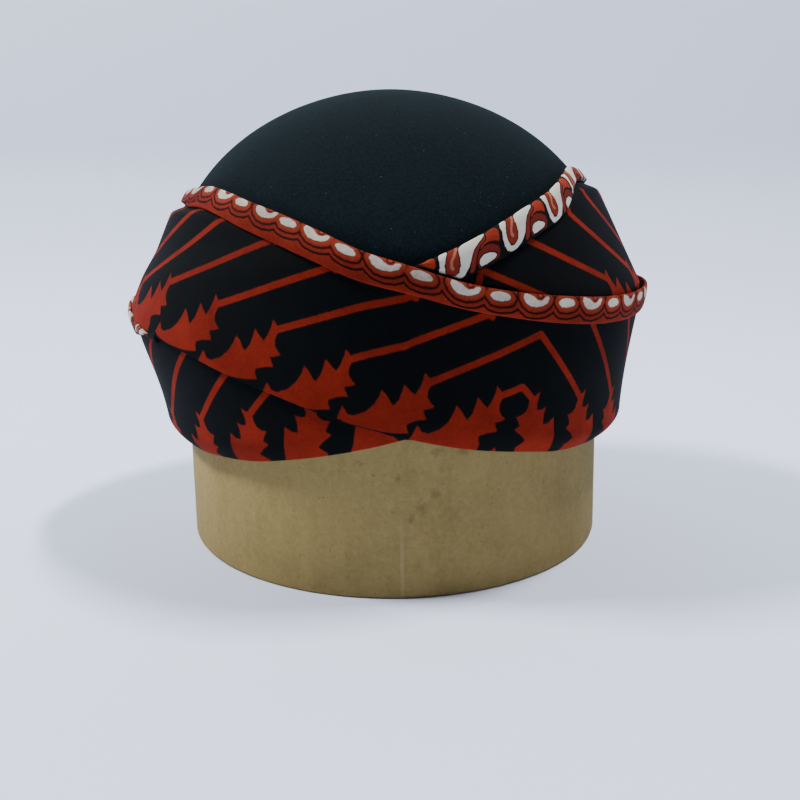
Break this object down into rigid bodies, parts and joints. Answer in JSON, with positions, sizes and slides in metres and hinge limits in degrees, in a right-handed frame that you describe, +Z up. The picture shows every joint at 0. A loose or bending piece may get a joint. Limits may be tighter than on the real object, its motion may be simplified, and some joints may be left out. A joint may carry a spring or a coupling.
{
  "type": "songkok with a batik wrap on a wooden hat block",
  "caption": "Domed felt cap dressed with two crossed bands of printed cloth, standing on a plain oval wooden block.",
  "frame": {"origin": "centre of the hat block's flat underside, on the surface that it stands on", "axes": "+Z up, the front of the hat faces -Y, +X is to the right of a viewer in front of it"},
  "size_m": [0.2039, 0.2049, 0.1696],
  "materials": {
    "block_wood": "bare, matt, lightly scuffed",
    "crown_felt": "dense napped felt",
    "wrap_cloth": "printed cotton, black ground with red leaves",
    "hem_cloth": "printed cotton, red hem with white drops and hooks"
  },
  "bodies": {
    "root": {"hat_block": "block_wood", "crown": "crown_felt", "under_wrap": "wrap_cloth", "front_wrap": "wrap_cloth", "front_border": "hem_cloth", "under_border": "hem_cloth", "under_border_tail": "hem_cloth"}
  },
  "joints": []
}
